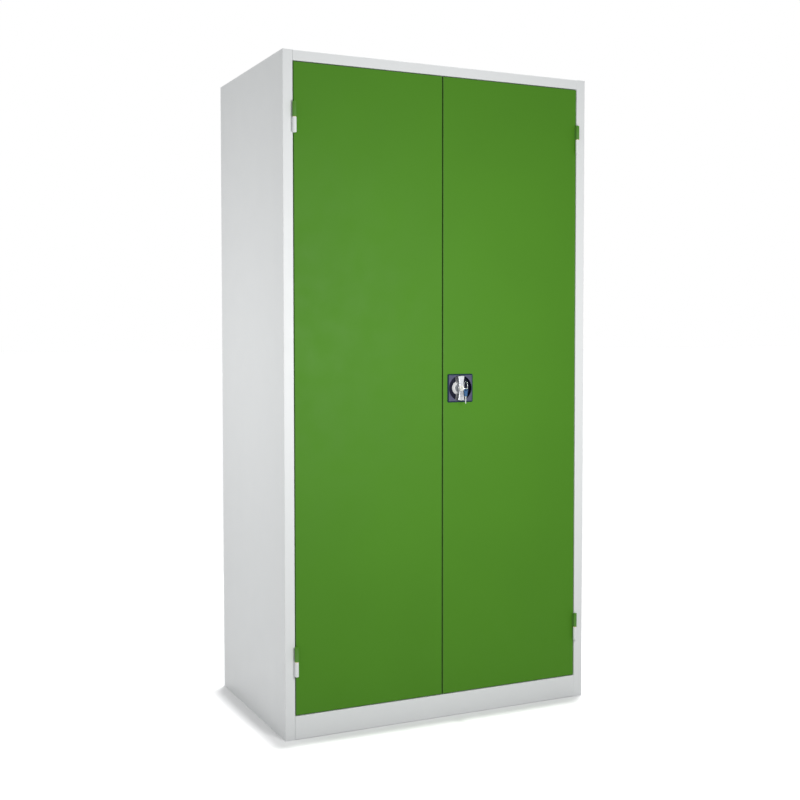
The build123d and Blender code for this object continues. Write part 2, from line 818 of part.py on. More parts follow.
def pinion_tooth():
    """The section of the tooth that points along local X, from the centre to its tip."""
    base_radius = pitch_radius * math.cos(math.radians(pressure_angle))
    tip_radius = pitch_radius + rack_addendum
    base_half = tooth_half_angle(base_radius)
    pitch_half = tooth_half_angle(pitch_radius)
    tip_half = tooth_half_angle(tip_radius)
    tip_start = on_gear(tip_radius, -tip_half)
    tip_end = on_gear(tip_radius, tip_half)
    with BuildSketch() as tooth:
        with BuildLine():
            Line((0, 0), on_gear(base_radius, -base_half))
            ThreePointArc(
                on_gear(base_radius, -base_half), on_gear(pitch_radius, -pitch_half), tip_start
            )
            ThreePointArc(tip_start, (tip_radius, 0), tip_end)
            ThreePointArc(tip_end, on_gear(pitch_radius, pitch_half), on_gear(base_radius, base_half))
            Line(on_gear(base_radius, base_half), (0, 0))
        make_face()
    return tooth.sketch


with BuildPart() as pinion:
    with BuildSketch(at_lock(pinion_back_y)):
        Circle(pitch_radius - gear_dedendum)
        with PolarLocations(0, pinion_teeth):
            add(pinion_tooth())
        Rectangle(spindle_square, spindle_square, mode=Mode.SUBTRACT)
    extrude(amount=pinion_width)
keep("pinion", pinion)


def rack_section():
    """The rack on the left of the pinion, with a tooth space level with the pinion's axis."""
    tooth_pitch = math.pi * gear_module
    half_tooth = tooth_pitch / 4 - gear_backlash / 4
    slope = math.tan(math.radians(pressure_angle))
    root_x = -(pitch_radius + gear_dedendum)
    tip_x = -(pitch_radius - rack_addendum)
    back_x = -(rod_offset + rod_radius)
    half_root = half_tooth + gear_dedendum * slope
    half_tip = half_tooth - rack_addendum * slope
    teeth_below = int(rack_below / tooth_pitch)
    teeth_above = 2
    with BuildSketch() as outline:
        with Locations(((root_x + back_x) / 2, (rack_above - rack_below) / 2)):
            Rectangle(root_x - back_x, rack_above + rack_below)
        for number in range(1 - teeth_below, 1 + teeth_above):
            tooth_z = (number - 0.5) * tooth_pitch
            with BuildLine():
                Polyline(
                    (root_x - rack_addendum, tooth_z - half_root),
                    (root_x, tooth_z - half_root),
                    (tip_x, tooth_z - half_tip),
                    (tip_x, tooth_z + half_tip),
                    (root_x, tooth_z + half_root),
                    (root_x - rack_addendum, tooth_z + half_root),
                    close=True,
                )
            make_face()
    return outline.sketch


with BuildPart() as upper_rack:
    with BuildSketch(at_lock(rod_y + rack_thickness / 2)):
        add(rack_section())
    extrude(amount=rack_thickness)
keep("upper_rack", upper_rack)

with BuildPart() as lower_rack:
    with BuildSketch(at_lock(rod_y + rack_thickness / 2)):
        add(rack_section(), rotation=180)
    extrude(amount=rack_thickness)
keep("lower_rack", lower_rack)

upper_rod_top = opening_top - stop_lip - rod_end_gap
lower_rod_bottom = floor_top + rod_end_gap

with BuildPart() as upper_rod:
    with BuildSketch(Plane.XY.offset(lock_z + rack_above)):
        with Locations((lock_x - rod_offset, rod_y)):
            Circle(rod_radius)
    extrude(amount=upper_rod_top - lock_z - rack_above)
    chamfer(upper_rod.faces().sort_by(Axis.Z)[-1].edges(), rod_taper)
keep("upper_rod", upper_rod)

with BuildPart() as lower_rod:
    with BuildSketch(Plane.XY.offset(lower_rod_bottom)):
        with Locations((lock_x + rod_offset, rod_y)):
            Circle(rod_radius)
    extrude(amount=lock_z - rack_above - lower_rod_bottom)
    chamfer(lower_rod.faces().sort_by(Axis.Z)[0].edges(), rod_taper)
keep("lower_rod", lower_rod)

with BuildPart() as latch_cam:
    # the arm hangs down at rest and cranks forward, to lie close behind the door returns
    nose_front_y = door_back_y + cam_flange_gap
    cam_line = (
        (cam_front_y, lock_z + cam_head),
        (cam_front_y, lock_z - cam_crank_at),
        (nose_front_y, lock_z - cam_crank_at - cam_crank_run),
        (nose_front_y, lock_z - cam_length),
    )
    cam_bends = (cam_thickness, 2 * cam_thickness)
    with BuildSketch(Plane.YZ.offset(lock_x)):
        add(folded_section(cam_line, cam_bends, cam_thickness, Side.LEFT))
    extrude(amount=cam_width / 2, both=True)
    with BuildSketch(at_lock(cam_back_y)):
        Rectangle(spindle_square, spindle_square)
    extrude(amount=cam_thickness, mode=Mode.SUBTRACT)
keep("latch_cam", latch_cam)

with BuildPart() as cam_screw:
    with BuildSketch(at_lock(cam_back_y)):
        Circle(cam_screw_radius)
    extrude(amount=cam_screw_length)
    with BuildSketch(at_lock(cam_back_y + cam_screw_head)):
        Circle(cam_screw_head_radius)
    extrude(amount=cam_screw_head)
    fillet(cam_screw.faces().sort_by(Axis.Y)[-1].edges(), cam_screw_head / 2)
keep("cam_screw", cam_screw)

# ---------------------------------------------------------------- cylinder, keys and ring

with BuildPart() as lock_cylinder:
    with BuildSketch(at_lock(cylinder_back_y)):
        Circle(cylinder_radius)
        Circle(plug_radius + plug_fit, mode=Mode.SUBTRACT)
    extrude(amount=cylinder_length)
keep("lock_cylinder", lock_cylinder)

with BuildPart() as cylinder_plug:
    plug_length = cylinder_length + plug_proud - plug_tail_gap
    with BuildSketch(at_lock(plug_front_y)):
        Circle(plug_radius)
    extrude(amount=-plug_length)
    with BuildSketch(at_lock(plug_front_y)):
        Rectangle(key_blade_width + 2 * key_slot_fit, key_blade_thickness + 2 * key_slot_fit)
    extrude(amount=-key_blade_length - key_slot_fit, mode=Mode.SUBTRACT)
keep("cylinder_plug", cylinder_plug)

with BuildPart() as inserted_key:
    with BuildSketch(Plane.XY.offset(lock_z - key_blade_thickness / 2)):
        with Locations((lock_x, plug_front_y + key_blade_length / 2)):
            Rectangle(key_blade_width, key_blade_length)
        with Locations((lock_x, plug_front_y - (key_neck + key_bow_radius) / 2)):
            Rectangle(key_neck_width, key_neck + key_bow_radius)
    extrude(amount=key_blade_thickness)
    with BuildSketch(Plane.XY.offset(lock_z - key_bow_thickness / 2)):
        with Locations((lock_x, bow_y)):
            Circle(key_bow_radius)
    extrude(amount=key_bow_thickness)
    with BuildSketch(Plane.XY.offset(lock_z - key_bow_thickness / 2)):
        with Locations((lock_x, key_hole_y)):
            Circle(key_hole_radius)
    extrude(amount=key_bow_thickness, mode=Mode.SUBTRACT)
keep("inserted_key", inserted_key)

ring_plane = Plane(origin=(lock_x, ring_y, ring_z), x_dir=(0, 1, 0), z_dir=(1, 0, 0))

with BuildPart(ring_plane) as key_ring:
    Torus(ring_radius, ring_wire)
keep("key_ring", key_ring)

with BuildPart() as spare_key_head:
    head_top_z = spare_hole_z + spare_hole_radius + spare_hole_rim
    head_middle_z = head_top_z - spare_head_height / 2
    head_bottom_z = head_top_z - spare_head_height
    with BuildSketch(facing(ring_y + spare_head_thickness / 2)):
        with Locations((lock_x, head_middle_z)):
            RectangleRounded(spare_head_width, spare_head_height, spare_head_corner)
        with Locations((lock_x, spare_hole_z)):
            Circle(spare_hole_radius, mode=Mode.SUBTRACT)
    extrude(amount=spare_head_thickness)
keep("spare_key_head", spare_key_head)

with BuildPart() as spare_key_blade:
    with BuildSketch(facing(ring_y + spare_blade_thickness / 2)):
        with Locations((lock_x, head_bottom_z - spare_blade_length / 2)):
            Rectangle(spare_blade_width, spare_blade_length)
    extrude(amount=spare_blade_thickness)
    tip_edges = spare_key_blade.faces().sort_by(Axis.Z)[0].edges().filter_by(Axis.Y)
    chamfer(tip_edges, spare_tip)
keep("spare_key_blade", spare_key_blade)

# ---------------------------------------------------------------- rod guides and shoot bolts


def guide(x, z, hole_radius):
    """An angle bracket on the inside of a door's skin, with a hole that guides a rod."""
    skin_y = front_y + door_sheet
    reach = rod_y + hole_radius + guide_rim
    line = ((skin_y, z - guide_foot), (skin_y, z), (reach, z))
    with BuildPart() as bracket:
        with BuildSketch(Plane.YZ.offset(x)):
            add(folded_section(line, (2 * guide_sheet,), guide_sheet, Side.RIGHT))
        extrude(amount=guide_width / 2, both=True)
        with BuildSketch(Plane.XY.offset(z)):
            with Locations((x, rod_y)):
                Circle(hole_radius)
        extrude(amount=-guide_sheet, mode=Mode.SUBTRACT)
    return bracket


upper_rod_x = lock_x - rod_offset
lower_rod_x = lock_x + rod_offset

with BuildPart() as rod_guides:
    rod_hole = rod_radius + guide_fit
    add(guide(upper_rod_x, lock_z + guide_lock_distance, rod_hole).part)
    add(guide(upper_rod_x, door_top - guide_end_distance, rod_hole).part)
    add(guide(lower_rod_x, lock_z - guide_lock_distance, rod_hole).part)
    add(guide(lower_rod_x, door_bottom + guide_end_distance, rod_hole).part)
keep("rod_guides", rod_guides)

bolt_spans = {
    "upper": (upper_rod_top - bolt_length, upper_rod_top),
    "lower": (lower_rod_bottom, lower_rod_bottom + bolt_length),
}

with BuildPart() as bolt_guides:
    for low_z, high_z in bolt_spans.values():
        for guide_z in (low_z + bolt_guide_inset, high_z - bolt_guide_inset):
            add(guide(-bolt_from_centre, guide_z, bolt_radius + guide_fit).part)
keep("bolt_guides", bolt_guides)

for word, (low_z, high_z) in bolt_spans.items():
    knob_z = (low_z + high_z) / 2
    with BuildPart() as shoot_bolt:
        with BuildSketch(Plane.XY.offset(low_z)):
            with Locations((-bolt_from_centre, rod_y)):
                Circle(bolt_radius)
        extrude(amount=bolt_length)
        chamfer(shoot_bolt.edges().filter_by(GeomType.CIRCLE), rod_taper)
        with BuildSketch(facing(rod_y + bolt_knob_length)):
            with Locations((-bolt_from_centre, knob_z)):
                Circle(bolt_knob_radius)
        extrude(amount=bolt_knob_length)
        fillet(shoot_bolt.faces().sort_by(Axis.Y)[-1].edges(), bolt_knob_radius / 2)
    keep(f"{word}_shoot_bolt", shoot_bolt)

# ---------------------------------------------------------------- files

os.makedirs("parts", exist_ok=True)
for name, built in pieces.items():
    export_step(built.part, f"parts/{name}.step")
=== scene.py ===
import json
import math

import bmesh
import bpy
from mathutils import Euler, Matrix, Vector


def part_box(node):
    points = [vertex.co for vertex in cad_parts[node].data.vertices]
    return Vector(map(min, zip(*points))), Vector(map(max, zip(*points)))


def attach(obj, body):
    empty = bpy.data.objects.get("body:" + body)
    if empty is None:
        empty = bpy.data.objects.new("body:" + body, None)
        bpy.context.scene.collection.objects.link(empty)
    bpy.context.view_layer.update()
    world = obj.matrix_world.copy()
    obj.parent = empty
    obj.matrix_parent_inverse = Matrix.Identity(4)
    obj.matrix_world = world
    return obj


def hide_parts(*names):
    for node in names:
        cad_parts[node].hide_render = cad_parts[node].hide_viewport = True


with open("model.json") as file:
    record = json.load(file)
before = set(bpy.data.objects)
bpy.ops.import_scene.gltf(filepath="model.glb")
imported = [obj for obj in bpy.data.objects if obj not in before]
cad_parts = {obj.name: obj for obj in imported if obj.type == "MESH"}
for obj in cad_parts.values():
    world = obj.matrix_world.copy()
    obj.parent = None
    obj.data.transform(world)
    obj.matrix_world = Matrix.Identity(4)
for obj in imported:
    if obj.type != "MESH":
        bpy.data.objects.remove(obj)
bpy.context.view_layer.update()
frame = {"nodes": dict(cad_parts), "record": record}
scene = bpy.context.scene


def box_of(node):
    """The two far corners of a CAD piece's box at rest, in metres."""
    return tuple(Vector(corner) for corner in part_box(node))


def linear(r, g, b):
    """A display colour of 0 to 255 as linear light."""
    return tuple(
        c / 255 / 12.92 if c / 255 <= 0.04045 else ((c / 255 + 0.055) / 1.055) ** 2.4
        for c in (r, g, b)
    )


# ---------------------------------------------------------------- places, in metres

low, high = box_of("lock_cylinder")
LOCK_AXIS = ((low.x + high.x) / 2, 0.0, (low.z + high.z) / 2)

# on the lock housing, as distances from the lock's axis: the painted recess shade ends, then the
# rim starts
RECESS_EDGE = (0.0380, 0.0383)
RIM_EDGE = (0.0385, 0.0392)

# on the twist grip, where its painted shade and highlight go: its disc lies behind this depth,
# and the disc's flat face inside this radius
DISC_DEPTH = (-0.2966, -0.2962)
DISC_FACE_EDGE = (0.0138, 0.0142)

# the second key's head: half its width at the blade, and its corner radii at the ring and blade
HEAD_HALF_FOOT = 0.0043
HEAD_SHOULDER = 0.0034
HEAD_HEEL = 0.0016
RING_HOLE_RADIUS = 0.0023
RING_HOLE_DROP = 0.0039
HEAD_STEP = 0.0008

# ---------------------------------------------------------------- colours

GREY = linear(222, 224, 224)
GREEN = linear(72, 127, 27)
ZINC = linear(168, 172, 176)
STEEL = linear(170, 171, 173)
BRASS = linear(214, 178, 110)
NICKEL = linear(206, 204, 196)
KEY_STEEL = linear(196, 200, 200)
KEY_BLUE = linear(14, 80, 130)
RUBBER = linear(40, 40, 42)
GRIP_DULL = linear(184, 186, 191)
GRIP_BRIGHT = linear(216, 217, 221)
# painted shade on the grip disc's flat face, and a painted highlight on its bevelled flank
DISC_FACE_SHADE = linear(120, 124, 128)
DISC_FLANK_HIGHLIGHT = linear(250, 250, 250)
HOUSING_FACE = (linear(74, 76, 98), linear(84, 84, 108))
HOUSING_RIM = linear(2, 30, 52)
# painted shade for the lock's recess
HOUSING_RECESS_SHADE = linear(6, 8, 34)

# ---------------------------------------------------------------- node helpers


def new_material(name):
    """An empty node material with its Principled shader."""
    material = bpy.data.materials.new(name)
    material.use_nodes = True
    tree = material.node_tree
    return material, tree, tree.nodes["Principled BSDF"]


def object_coords(tree):
    """Coordinates fixed to the piece, in metres."""
    return tree.nodes.new("ShaderNodeTexCoord").outputs["Object"]


def noise(tree, coords, scale, detail=3.0, rough=0.5, stretch=None):
    """A noise texture in object coordinates, stretched along the axes if asked."""
    source = coords
    if stretch:
        mapping = tree.nodes.new("ShaderNodeMapping")
        mapping.inputs["Scale"].default_value = stretch
        tree.links.new(coords, mapping.inputs["Vector"])
        source = mapping.outputs["Vector"]
    node = tree.nodes.new("ShaderNodeTexNoise")
    node.inputs["Scale"].default_value = scale
    node.inputs["Detail"].default_value = detail
    node.inputs["Roughness"].default_value = rough
    tree.links.new(source, node.inputs["Vector"])
    return node.outputs["Fac"]


def ranged(tree, value, low, high, start=0.3, end=0.7):
    """A value mapped to a range."""
    node = tree.nodes.new("ShaderNodeMapRange")
    node.inputs["From Min"].default_value = start
    node.inputs["From Max"].default_value = end
    node.inputs["To Min"].default_value = low
    node.inputs["To Max"].default_value = high
    tree.links.new(value, node.inputs["Value"])
    return node.outputs["Result"]


def calculated(tree, operation, first, second, clamp=False):
    """Two values put through one Math node."""
    node = tree.nodes.new("ShaderNodeMath")
    node.operation = operation
    node.use_clamp = clamp
    tree.links.new(first, node.inputs[0])
    tree.links.new(second, node.inputs[1])
    return node.outputs["Value"]


def vector_step(tree, operation, vector, by=None, output="Vector"):
    """A vector put through one Vector Math node, with a fixed second vector if asked."""
    node = tree.nodes.new("ShaderNodeVectorMath")
    node.operation = operation
    tree.links.new(vector, node.inputs[0])
    if by:
        node.inputs[1].default_value = by
    return node.outputs[output]


def split(tree, vector):
    """A vector's three parts, by name."""
    node = tree.nodes.new("ShaderNodeSeparateXYZ")
    tree.links.new(vector, node.inputs["Vector"])
    return node.outputs


def mixed(tree, factor, first, second):
    """A colour between two. The factor and the colours are each fixed or a socket."""
    node = tree.nodes.new("ShaderNodeMix")
    node.data_type = "RGBA"
    if isinstance(factor, float):
        node.inputs["Factor"].default_value = factor
    else:
        tree.links.new(factor, node.inputs["Factor"])
    for socket, value in (("A", first), ("B", second)):
        target = [s for s in node.inputs if s.name == socket and s.type == "RGBA"][0]
        if isinstance(value, tuple):
            target.default_value = (*value, 1.0)
        else:
            tree.links.new(value, target)
    return [s for s in node.outputs if s.type == "RGBA"][0]


def bumped(tree, shader, height, strength, distance):
    """A bump from a height."""
    node = tree.nodes.new("ShaderNodeBump")
    node.inputs["Strength"].default_value = strength
    node.inputs["Distance"].default_value = distance
    tree.links.new(height, node.inputs["Height"])
    tree.links.new(node.outputs["Normal"], shader.inputs["Normal"])


def wear_and_highlight_edges(tree, start=0.52, end=0.60):
    """A mask that is high on outer edges, for paler colour that stands partly for edge wear and
    partly for a painted edge highlight.
    """
    geometry = tree.nodes.new("ShaderNodeNewGeometry")
    return ranged(tree, geometry.outputs["Pointiness"], 0.0, 1.0, start, end)


def shade(colour, factor):
    """The colour made darker or lighter."""
    return tuple(min(1.0, c * factor) for c in colour)


def towards_white(colour, share):
    """The colour moved part of the way to white."""
    return tuple(c + (1 - c) * share for c in colour)


# ---------------------------------------------------------------- materials


def paint(name, colour, roughness, edge, specular=0.35):
    """Powder coat: a fine orange peel, a faint cloudiness and slightly paler edges, partly wear
    and partly a painted highlight.
    """
    material, tree, shader = new_material(name)
    coords = object_coords(tree)
    clouds = ranged(tree, noise(tree, coords, 3.5), 0.0, 1.0)
    specks = ranged(tree, noise(tree, coords, 420.0, 2.0), 0.0, 1.0)
    cloudy = mixed(tree, clouds, shade(colour, 0.965), shade(colour, 1.03))
    speckled = mixed(tree, specks, shade(colour, 0.95), shade(colour, 1.06))
    base = mixed(tree, 0.25, cloudy, speckled)
    # paler outer edges: partly wear, partly a painted highlight
    pale = towards_white(colour, edge * 0.35)
    tree.links.new(mixed(tree, wear_and_highlight_edges(tree), base, pale), shader.inputs["Base Color"])
    tree.links.new(
        ranged(tree, noise(tree, coords, 14.0), roughness - 0.05, roughness + 0.06),
        shader.inputs["Roughness"],
    )
    shader.inputs["Specular IOR Level"].default_value = specular
    bumped(tree, shader, noise(tree, coords, 900.0, 2.0), 0.10, 0.0004)
    return material


def metal(name, colour, roughness, stretch=None, streak=160.0):
    """Bare or plated metal with fine streaks."""
    material, tree, shader = new_material(name)
    coords = object_coords(tree)
    streaks = noise(tree, coords, streak, 4.0, 0.6, stretch)
    clouds = ranged(tree, noise(tree, coords, 22.0), 0.0, 1.0)
    base = mixed(tree, clouds, shade(colour, 0.88), shade(colour, 1.08))
    pale = mixed(tree, ranged(tree, streaks, 0.0, 0.5), base, shade(colour, 1.15))
    # brighter outer edges: partly wear, partly a painted highlight
    bright = mixed(tree, wear_and_highlight_edges(tree, 0.53, 0.62), pale, shade(colour, 1.3))
    tree.links.new(bright, shader.inputs["Base Color"])
    shader.inputs["Metallic"].default_value = 1.0
    tree.links.new(
        ranged(tree, streaks, roughness - 0.08, roughness + 0.08), shader.inputs["Roughness"]
    )
    bumped(tree, shader, streaks, 0.05, 0.0003)
    return material


def spangled(name, colour):
    """Galvanised sheet: a patchwork of zinc crystals, each with its own tone and gloss."""
    material, tree, shader = new_material(name)
    coords = object_coords(tree)
    cells = tree.nodes.new("ShaderNodeTexVoronoi")
    cells.inputs["Scale"].default_value = 110.0
    tree.links.new(coords, cells.inputs["Vector"])
    tone = tree.nodes.new("ShaderNodeSeparateColor")
    tree.links.new(cells.outputs["Color"], tone.inputs["Color"])
    crystal = mixed(tree, tone.outputs["Red"], shade(colour, 0.82), shade(colour, 1.12))
    clouds = ranged(tree, noise(tree, coords, 9.0), 0.0, 0.5)
    base = mixed(tree, clouds, crystal, colour)
    # brighter outer edges: partly wear, partly a painted highlight
    bright = mixed(tree, wear_and_highlight_edges(tree, 0.53, 0.62), base, shade(colour, 1.25))
    tree.links.new(bright, shader.inputs["Base Color"])
    shader.inputs["Metallic"].default_value = 0.45
    tree.links.new(
        ranged(tree, tone.outputs["Green"], 0.50, 0.70, 0.0, 1.0), shader.inputs["Roughness"]
    )
    bumped(tree, shader, noise(tree, coords, 260.0), 0.06, 0.0003)
    return material


def plastic(name, colour, roughness, coat=0.0, edge=0.25):
    """Moulded plastic or rubber with a fine spark-eroded grain."""
    material, tree, shader = new_material(name)
    coords = object_coords(tree)
    clouds = ranged(tree, noise(tree, coords, 30.0), 0.0, 1.0)
    base = mixed(tree, clouds, shade(colour, 0.9), shade(colour, 1.1))
    # paler outer edges: partly wear, partly a painted highlight
    pale = towards_white(colour, edge * 0.4)
    tree.links.new(mixed(tree, wear_and_highlight_edges(tree), base, pale), shader.inputs["Base Color"])
    tree.links.new(
        ranged(tree, noise(tree, coords, 90.0), roughness - 0.06, roughness + 0.08),
        shader.inputs["Roughness"],
    )
    shader.inputs["Coat Weight"].default_value = coat
    shader.inputs["Coat Roughness"].default_value = 0.15
    bumped(tree, shader, noise(tree, coords, 700.0, 2.0), 0.15, 0.0002)
    return material


def across_lock(tree, coords):
    """The offset from the lock's axis, seen along the axis, as a vector."""
    offset = vector_step(tree, "SUBTRACT", coords, LOCK_AXIS)
    return vector_step(tree, "MULTIPLY", offset, (1.0, 0.0, 1.0))


def grip_metal():
    """Silver lacquer on the grip, brushed on the bar; on its disc the flat face carries painted
    shade and the bevelled flank a painted highlight, and the disc is less metallic.
    """
    material, tree, shader = new_material("grip_metal")
    coords = object_coords(tree)
    radius = vector_step(tree, "LENGTH", across_lock(tree, coords), output="Value")
    behind = ranged(tree, split(tree, coords)["Y"], 0.0, 1.0, *DISC_DEPTH)
    inside = ranged(tree, radius, 1.0, 0.0, *DISC_FACE_EDGE)
    # masks for the painted shade on the disc's flat face and the painted highlight on its flank
    face = calculated(tree, "MULTIPLY", behind, inside)
    lit_flank = calculated(tree, "SUBTRACT", behind, inside, clamp=True)
    streaks = noise(tree, coords, 600.0, 4.0, 0.6, (0.08, 1, 1))
    lacquer = mixed(tree, ranged(tree, streaks, 0.0, 1.0), GRIP_DULL, GRIP_BRIGHT)
    # painted shade on the disc's flat face, then a painted highlight on its bevelled flank
    with_face_shade = mixed(tree, face, lacquer, DISC_FACE_SHADE)
    with_flank_highlight = mixed(tree, lit_flank, with_face_shade, DISC_FLANK_HIGHLIGHT)
    tree.links.new(with_flank_highlight, shader.inputs["Base Color"])
    tree.links.new(ranged(tree, behind, 0.55, 0.12, 0.0, 1.0), shader.inputs["Metallic"])
    tree.links.new(ranged(tree, streaks, 0.26, 0.40), shader.inputs["Roughness"])
    bumped(tree, shader, streaks, 0.05, 0.0003)
    return material


def lock_plastic():
    """Dark moulded plastic: a paler face, a dark rim, and painted shade that darkens the recess.
    """
    material, tree, shader = new_material("lock_plastic")
    coords = object_coords(tree)
    across = across_lock(tree, coords)
    radius = vector_step(tree, "LENGTH", across, output="Value")
    sides = split(tree, vector_step(tree, "ABSOLUTE", across))
    widest = calculated(tree, "MAXIMUM", sides["X"], sides["Z"])
    # painted shade that darkens the recess
    recess_shade = ranged(tree, radius, 1.0, 0.0, *RECESS_EDGE)
    rim = ranged(tree, widest, 0.0, 1.0, *RIM_EDGE)
    clouds = ranged(tree, noise(tree, coords, 60.0), 0.0, 1.0)
    face = mixed(tree, clouds, *HOUSING_FACE)
    with_rim = mixed(tree, rim, face, HOUSING_RIM)
    with_recess_shade = mixed(tree, recess_shade, with_rim, HOUSING_RECESS_SHADE)
    tree.links.new(with_recess_shade, shader.inputs["Base Color"])
    tree.links.new(
        ranged(tree, noise(tree, coords, 90.0), 0.50, 0.64), shader.inputs["Roughness"]
    )
    shader.inputs["Specular IOR Level"].default_value = 0.18
    bumped(tree, shader, noise(tree, coords, 1400.0, 2.0), 0.2, 0.0002)
    return material


ALONG_Z = (1, 1, 0.04)
ALONG_Y = (1, 0.1, 1)
MATERIALS = {
    "carcass_paint": paint("carcass_paint", GREY, 0.48, edge=0.2),
    "door_paint": paint("door_paint", GREEN, 0.56, edge=0.1, specular=0.17),
    "galvanised_steel": spangled("galvanised_steel", ZINC),
    "bright_steel": metal("bright_steel", STEEL, 0.30, ALONG_Z, 500.0),
    "brass": metal("brass", BRASS, 0.30),
    "nickel_plate": metal("nickel_plate", NICKEL, 0.22, None, 300.0),
    "buffer_rubber": plastic("buffer_rubber", RUBBER, 0.70),
    "lock_plastic": lock_plastic(),
    "grip_metal": grip_metal(),
    "key_metal": metal("key_metal", KEY_STEEL, 0.24, ALONG_Y, 500.0),
    "key_plastic": plastic("key_plastic", KEY_BLUE, 0.35, coat=0.3, edge=0.1),
}
slot_of = {entry["node"]: entry["material_slot"] for entry in frame["record"]["subparts"]}
for node, piece in frame["nodes"].items():
    piece.data.materials.clear()
    piece.data.materials.append(MATERIALS[slot_of[node]])

# ---------------------------------------------------------------- softened edges


def soften(piece, width, segments=3, angle=40.0, harden=True):
    """Rounds the sharp edges of a piece."""
    bevel = piece.modifiers.new("soft_edges", "BEVEL")
    bevel.width = width
    bevel.segments = segments
    bevel.limit_method = "ANGLE"
    bevel.angle_limit = math.radians(angle)
    bevel.harden_normals = harden


for node, width in (
    ("lock_housing", 0.0005),
    ("lock_cylinder", 0.0004),
    ("cylinder_plug", 0.00015),
    ("inserted_key", 0.0003),
    ("lock_case", 0.0005),
    ("latch_cam", 0.0004),
):
    soften(frame["nodes"][node], width)

# ---------------------------------------------------------------- rebuilt pieces


def finished(name, shape, body, node):
    """A built mesh as a piece that rides on a body in place of a CAD node."""
    bmesh.ops.recalc_face_normals(shape, faces=shape.faces)
    mesh = bpy.data.meshes.new(name)
    shape.to_mesh(mesh)
    shape.free()
    piece = bpy.data.objects.new(name, mesh)
    scene.collection.objects.link(piece)
    piece.data.materials.append(MATERIALS[slot_of[node]])
    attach(piece, body)
    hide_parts(node)
    return piece


def split_ring():
    """Two flat coils of spring wire that lie against each other and cross over once."""
    low, high = box_of("key_ring")
    centre = (low + high) / 2
    wire = (high.x - low.x) / 2
    radius = (high.z - low.z) / 2 - wire
    steps, corners = 200, 12
    first_turn, turns = 0.06, 1.88
    crossing, crossing_length = 0.94, 0.12
    start_turn = 0.2
    squareness = 0.6

    def squared(value):
        return math.copysign(abs(value) ** squareness, value)

    shape = bmesh.new()
    sections = []
    for step in range(steps + 1):
        turn = first_turn + turns * step / steps
        cross = min(1.0, max(0.0, (turn - crossing) / crossing_length))
        sideways = wire * 0.5 * (2 * cross * cross * (3 - 2 * cross) - 1)
        angle = math.tau * (turn + start_turn)
        section = []
        for corner in range(corners):
            around = math.tau * corner / corners
            reach = radius + squared(math.cos(around)) * wire * 0.92
            place = (
                sideways + squared(math.sin(around)) * wire * 0.46,
                reach * math.cos(angle),
                reach * math.sin(angle),
            )
            section.append(shape.verts.new(centre + Vector(place)))
        sections.append(section)
    for first, second in zip(sections, sections[1:]):
        for corner in range(corners):
            after = (corner + 1) % corners
            shape.faces.new((first[corner], first[after], second[after], second[corner]))
    shape.faces.new(sections[0])
    shape.faces.new(sections[-1])
    for face in shape.faces:
        face.smooth = len(face.verts) == 4
    finished("split_ring", shape, "key_ring", "key_ring")


def cut_blade():
    """The second key's blade, with the cuts along one edge and a pointed tip."""
    low, high = box_of("spare_key_blade")
    width, length = high.x - low.x, high.z - low.z
    # shares of the width and of the length from the head: back edge, tip, cuts, front edge
    outline = [(0.0, 0.0), (0.0, 0.90), (0.34, 1.0), (0.66, 1.0), (0.86, 0.94)]
    cuts = ((0.88, 0.34), (0.78, 0.20), (0.68, 0.42), (0.56, 0.26), (0.45, 0.14), (0.34, 0.36))
    for down, depth in cuts:
        outline.append((1.0 - depth, down - 0.012))
        outline.append((1.0 - depth, down - 0.034))
        outline.append((1.0 - depth * 0.25, down - 0.060))
    outline += [(1.0, 0.22), (1.0, 0.0)]
    shape = bmesh.new()
    front = [
        shape.verts.new((low.x + across * width, low.y, high.z - down * length))
        for across, down in outline
    ]
    face = shape.faces.new(front)
    raised = bmesh.ops.extrude_face_region(shape, geom=[face])
    moved = [item for item in raised["geom"] if isinstance(item, bmesh.types.BMVert)]
    bmesh.ops.translate(shape, vec=(0.0, high.y - low.y, 0.0), verts=moved)
    piece = finished("spare_blade", shape, "spare_key", "spare_key_blade")
    soften(piece, 0.00018, segments=2, angle=30.0, harden=False)


def head_outline(low, high):
    """The head's outline, clockwise from the top: shoulders, tapering sides and heels."""
    middle, half_width = (low.x + high.x) / 2, (high.x - low.x) / 2
    side_length = high.z - low.z - HEAD_SHOULDER - HEAD_HEEL
    taper = math.atan((half_width - HEAD_HALF_FOOT) / side_length)
    half = []
    for reach, level, radius, start, end in (
        (half_width, high.z - HEAD_SHOULDER, HEAD_SHOULDER, math.pi / 2, -taper),
        (HEAD_HALF_FOOT, low.z + HEAD_HEEL, HEAD_HEEL, -taper, -math.pi / 2),
    ):
        for step in range(7):
            angle = start + (end - start) * step / 6
            across = reach - radius + radius * math.cos(angle)
            half.append(Vector((across, level + radius * math.sin(angle))))
    corners = [Vector((middle + spot.x, spot.y)) for spot in half]
    corners += [Vector((middle - spot.x, spot.y)) for spot in reversed(half)]
    outline = []
    for here, after in zip(corners, corners[1:] + corners[:1]):
        parts = max(1, round((after - here).length / HEAD_STEP))
        outline += [here.lerp(after, step / parts) for step in range(parts)]
    return outline


